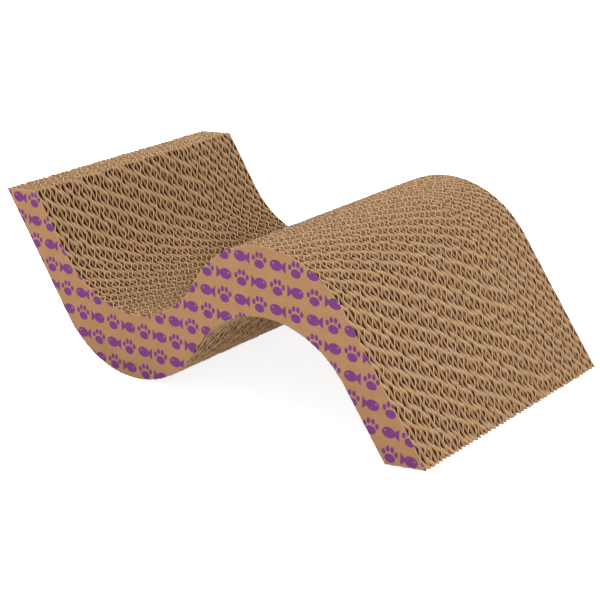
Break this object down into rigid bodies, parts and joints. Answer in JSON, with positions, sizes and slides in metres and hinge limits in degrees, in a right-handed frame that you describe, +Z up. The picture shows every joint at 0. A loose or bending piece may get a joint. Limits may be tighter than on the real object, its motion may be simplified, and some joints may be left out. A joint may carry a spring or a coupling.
{
  "type": "cardboard cat scratcher",
  "caption": "Wave-shaped cat scratcher of upright corrugated cardboard boards glued side by side, with a seat hollow at one end and an arched hump at the other.",
  "frame": {"origin": "on the floor, under the middle of the object's box, with the wave standing as it is used", "axes": "+X along the wave from the head over the seat to the foot, +Y from the printed front face through the stack to the back, +Z up"},
  "size_m": [0.4256, 0.24, 0.1412],
  "materials": {
    "kraft_board": "bare kraft cardboard, cut edges open",
    "printed_board": "kraft cardboard with a purple flexo print on its outer face"
  },
  "bodies": {
    "root": {"front_board": "printed_board", "inner_board_02": "kraft_board", "inner_board_03": "kraft_board", "inner_board_04": "kraft_board", "inner_board_05": "kraft_board", "inner_board_06": "kraft_board", "inner_board_07": "kraft_board", "inner_board_08": "kraft_board", "inner_board_09": "kraft_board", "inner_board_10": "kraft_board", "inner_board_11": "kraft_board", "inner_board_12": "kraft_board", "inner_board_13": "kraft_board", "inner_board_14": "kraft_board", "inner_board_15": "kraft_board", "inner_board_16": "kraft_board", "inner_board_17": "kraft_board", "inner_board_18": "kraft_board", "inner_board_19": "kraft_board", "inner_board_20": "kraft_board", "inner_board_21": "kraft_board", "inner_board_22": "kraft_board", "inner_board_23": "kraft_board", "inner_board_24": "kraft_board", "inner_board_25": "kraft_board", "inner_board_26": "kraft_board", "inner_board_27": "kraft_board", "inner_board_28": "kraft_board", "inner_board_29": "kraft_board", "inner_board_30": "kraft_board", "inner_board_31": "kraft_board", "inner_board_32": "kraft_board", "inner_board_33": "kraft_board", "inner_board_34": "kraft_board", "inner_board_35": "kraft_board", "inner_board_36": "kraft_board", "inner_board_37": "kraft_board", "inner_board_38": "kraft_board", "inner_board_39": "kraft_board", "inner_board_40": "kraft_board", "inner_board_41": "kraft_board", "inner_board_42": "kraft_board", "inner_board_43": "kraft_board", "inner_board_44": "kraft_board", "inner_board_45": "kraft_board", "inner_board_46": "kraft_board", "inner_board_47": "kraft_board", "back_board": "kraft_board"}
  },
  "joints": []
}
